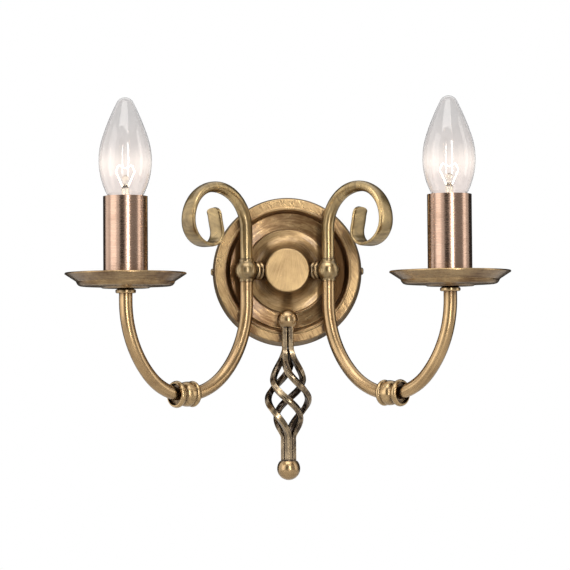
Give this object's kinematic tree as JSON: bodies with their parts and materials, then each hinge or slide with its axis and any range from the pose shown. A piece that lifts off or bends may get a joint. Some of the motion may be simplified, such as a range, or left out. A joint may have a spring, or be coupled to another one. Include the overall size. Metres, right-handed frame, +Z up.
{
  "type": "double arm wall sconce",
  "caption": "Wall sconce in aged brass: a round dished backplate, curved arms with scrolls, candle-style lamps on drip pans and a twisted basket finial.",
  "frame": {"origin": "centre of the bracket's two wall slots, on the wall plane behind the backplate", "axes": "+Z up, -Y out of the wall towards the room, +X to the right as seen from the room"},
  "size_m": [0.296, 0.1461, 0.2586],
  "materials": {
    "aged_brass": "lacquered antique brass, brushed and darkened in the hollows",
    "copper_lacquer": "satin, rolled sheet with a coppery lacquer",
    "steel": "zinc plated",
    "brass_fittings": "plain machined brass",
    "white_plastic": "moulded nylon",
    "black_plastic": "moulded heat-resistant resin",
    "wire_cover": "heat-resistant insulation",
    "clear_glass": "clear blown glass",
    "black_glass": "opaque black insulating glass with a soldered contact",
    "filament_wire": "tungsten wire, glowing"
  },
  "bodies": {
    "fitting": {"wall_bracket": "steel", "cover_screws": "brass_fittings", "backplate": "aged_brass", "hub": "aged_brass", "hub_screws": "steel", "terminal_block": "white_plastic", "terminal_inserts": "brass_fittings", "terminal_screws": "brass_fittings", "earth_screw": "brass_fittings", "finial_stud": "steel", "finial_nut": "steel", "finial_top_ball": "aged_brass", "finial_bar_1": "aged_brass", "finial_bar_2": "aged_brass", "finial_bar_3": "aged_brass", "finial_bar_4": "aged_brass", "finial_bottom_ball": "aged_brass", "holder_nuts": "brass_fittings", "left_arm_stub": "brass_fittings", "left_stub_collar": "aged_brass", "left_arm_ball": "aged_brass", "left_scroll": "aged_brass", "left_inner_arm": "aged_brass", "left_knuckle_barrel": "aged_brass", "left_knuckle_flange": "aged_brass", "left_outer_arm": "aged_brass", "left_pan_collar": "aged_brass", "left_drip_pan": "aged_brass", "left_holder_nipple": "brass_fittings", "left_lampholder_body": "black_plastic", "left_lampholder_shell": "brass_fittings", "left_lampholder_contact": "brass_fittings", "left_arm_wires": "wire_cover", "right_arm_stub": "brass_fittings", "right_stub_collar": "aged_brass", "right_arm_ball": "aged_brass", "right_scroll": "aged_brass", "right_inner_arm": "aged_brass", "right_knuckle_barrel": "aged_brass", "right_knuckle_flange": "aged_brass", "right_outer_arm": "aged_brass", "right_pan_collar": "aged_brass", "right_drip_pan": "aged_brass", "right_holder_nipple": "brass_fittings", "right_lampholder_body": "black_plastic", "right_lampholder_shell": "brass_fittings", "right_lampholder_contact": "brass_fittings", "right_arm_wires": "wire_cover"},
    "left_sleeve": {"left_candle_sleeve": "copper_lacquer"},
    "left_lamp": {"left_lamp_glass": "clear_glass", "left_lamp_cap": "brass_fittings", "left_lamp_contact": "black_glass", "left_lamp_stem": "clear_glass", "left_lamp_filament": "filament_wire"},
    "right_sleeve": {"right_candle_sleeve": "copper_lacquer"},
    "right_lamp": {"right_lamp_glass": "clear_glass", "right_lamp_cap": "brass_fittings", "right_lamp_contact": "black_glass", "right_lamp_stem": "clear_glass", "right_lamp_filament": "filament_wire"}
  },
  "joints": [
    {"name": "left_lamp_lift", "type": "slide", "parent": "fitting", "child": "left_lamp", "axis": [0, 0, 1], "range_m": [0, 0.04]},
    {"name": "left_sleeve_lift", "type": "slide", "parent": "fitting", "child": "left_sleeve", "axis": [0, 0, 1], "range_m": [0, 0.0025]},
    {"name": "right_lamp_lift", "type": "slide", "parent": "fitting", "child": "right_lamp", "axis": [0, 0, 1], "range_m": [0, 0.04]},
    {"name": "right_sleeve_lift", "type": "slide", "parent": "fitting", "child": "right_sleeve", "axis": [0, 0, 1], "range_m": [0, 0.0025]}
  ]
}
